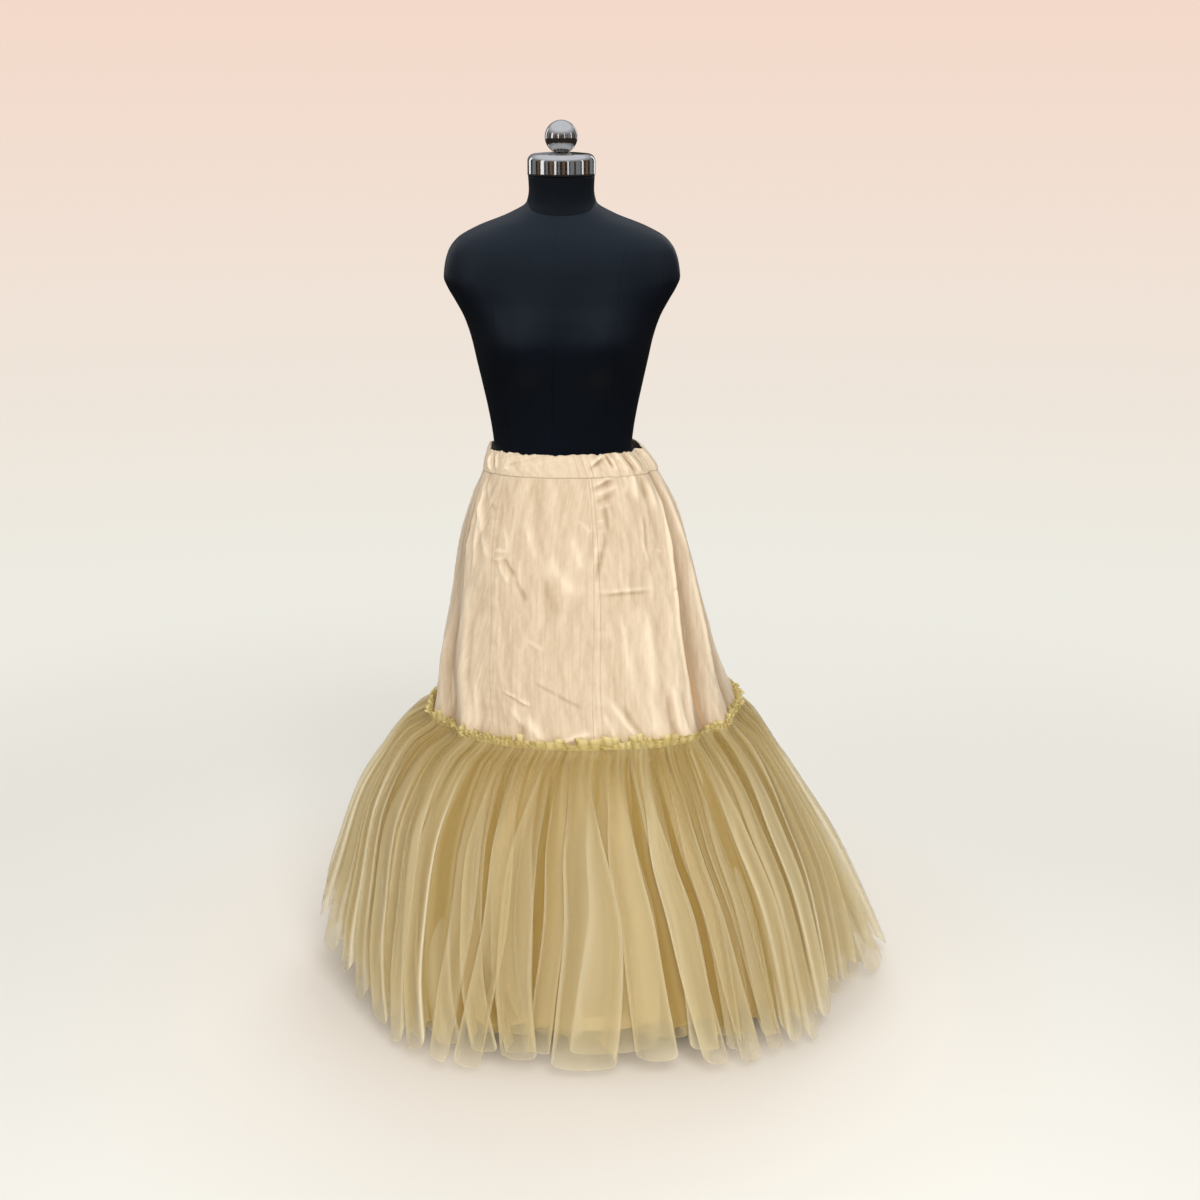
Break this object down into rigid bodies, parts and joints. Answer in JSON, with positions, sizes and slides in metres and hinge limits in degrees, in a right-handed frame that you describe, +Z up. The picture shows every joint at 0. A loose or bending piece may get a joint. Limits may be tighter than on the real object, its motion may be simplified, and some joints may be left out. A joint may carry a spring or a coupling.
{
  "type": "cancan skirt on a dress form",
  "caption": "A-line cotton petticoat with a drawstring casing and a gathered net flounce, worn by a limbless dress form on a round base.",
  "frame": {"origin": "centre of the flat underside of the stand's base, on the floor", "axes": "+Z up along the pole, -Y towards the front of the skirt, +X to the right of a viewer who stands in front of it"},
  "size_m": [1.0635, 0.8878, 1.5052],
  "materials": {
    "form_covering": "smooth satin black stretch covering",
    "polished_metal": "mirror polished",
    "stand_metal": "satin black",
    "cotton": "plain weave with a soft sheen",
    "lining": "matt woven lining",
    "net": "sheer soft net"
  },
  "bodies": {
    "root": {"form_torso": "form_covering", "form_neck_cap": "polished_metal", "form_finial_ball": "polished_metal", "form_pole": "stand_metal", "form_base": "stand_metal", "waistband": "cotton", "gore_front": "cotton", "gore_front_right": "cotton", "gore_right": "cotton", "gore_back_right": "cotton", "gore_back": "cotton", "gore_left": "cotton", "heading_frill": "net", "lining_flounce": "lining", "net_layer_under": "net", "net_layer_top": "net"}
  },
  "joints": []
}
